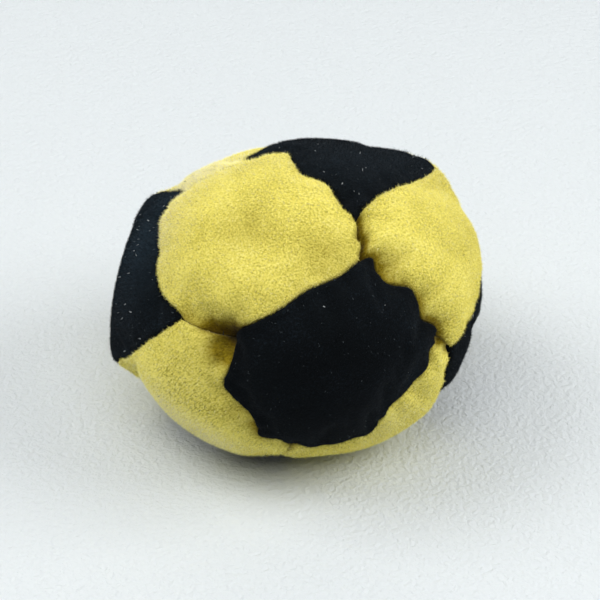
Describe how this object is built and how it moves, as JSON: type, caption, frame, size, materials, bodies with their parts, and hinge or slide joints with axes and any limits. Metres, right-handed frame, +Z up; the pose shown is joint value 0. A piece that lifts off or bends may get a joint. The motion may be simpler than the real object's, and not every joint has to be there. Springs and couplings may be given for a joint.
{
  "type": "footbag",
  "caption": "Soft hand-sewn footbag of yellow and black suede panels, loosely filled and slumped as it lies, kicked to keep it in the air.",
  "frame": {"origin": "on the surface that the bag lies on, below the middle of its outline", "axes": "+Z up, -Y towards the viewer of the picture, +X to the viewer's right"},
  "size_m": [0.0566, 0.0568, 0.0414],
  "materials": {
    "yellow_suede": "soft synthetic suede with a short nap",
    "black_suede": "soft synthetic suede with a short nap",
    "waxed_thread": "waxed",
    "pellets": "smooth small pellets"
  },
  "bodies": {
    "root": {"black_panel_back": "black_suede", "black_panel_front": "black_suede", "black_panel_left": "black_suede", "black_panel_right": "black_suede", "black_panel_top": "black_suede", "black_panel_underside": "black_suede", "filling": "pellets", "thread_back_to_lower_back_left": "waxed_thread", "thread_back_to_lower_back_right": "waxed_thread", "thread_back_to_upper_back_left": "waxed_thread", "thread_back_to_upper_back_right": "waxed_thread", "thread_front_to_lower_front_left": "waxed_thread", "thread_front_to_lower_front_right": "waxed_thread", "thread_front_to_upper_front_left": "waxed_thread", "thread_front_to_upper_front_right": "waxed_thread", "thread_left_to_lower_back_left": "waxed_thread", "thread_left_to_lower_front_left": "waxed_thread", "thread_left_to_upper_back_left": "waxed_thread", "thread_left_to_upper_front_left": "waxed_thread", "thread_lower_back_left_to_lower_front_left": "waxed_thread", "thread_lower_back_right_to_lower_back_left": "waxed_thread", "thread_lower_front_left_to_lower_front_right": "waxed_thread", "thread_lower_front_right_to_lower_back_right": "waxed_thread", "thread_right_to_lower_back_right": "waxed_thread", "thread_right_to_lower_front_right": "waxed_thread", "thread_right_to_upper_back_right": "waxed_thread", "thread_right_to_upper_front_right": "waxed_thread", "thread_top_to_upper_back_left": "waxed_thread", "thread_top_to_upper_back_right": "waxed_thread", "thread_top_to_upper_front_left": "waxed_thread", "thread_top_to_upper_front_right": "waxed_thread", "thread_underside_to_lower_back_left": "waxed_thread", "thread_underside_to_lower_back_right": "waxed_thread", "thread_underside_to_lower_front_left": "waxed_thread", "thread_underside_to_lower_front_right": "waxed_thread", "thread_upper_back_left_to_lower_back_left": "waxed_thread", "thread_upper_back_left_to_upper_back_right": "waxed_thread", "thread_upper_back_right_to_lower_back_right": "waxed_thread", "thread_upper_back_right_to_upper_front_right": "waxed_thread", "thread_upper_front_left_to_lower_front_left": "waxed_thread", "thread_upper_front_left_to_upper_back_left": "waxed_thread", "thread_upper_front_right_to_lower_front_right": "waxed_thread", "thread_upper_front_right_to_upper_front_left": "waxed_thread", "yellow_panel_lower_back_left": "yellow_suede", "yellow_panel_lower_back_right": "yellow_suede", "yellow_panel_lower_front_left": "yellow_suede", "yellow_panel_lower_front_right": "yellow_suede", "yellow_panel_upper_back_left": "yellow_suede", "yellow_panel_upper_back_right": "yellow_suede", "yellow_panel_upper_front_left": "yellow_suede", "yellow_panel_upper_front_right": "yellow_suede"}
  },
  "joints": []
}
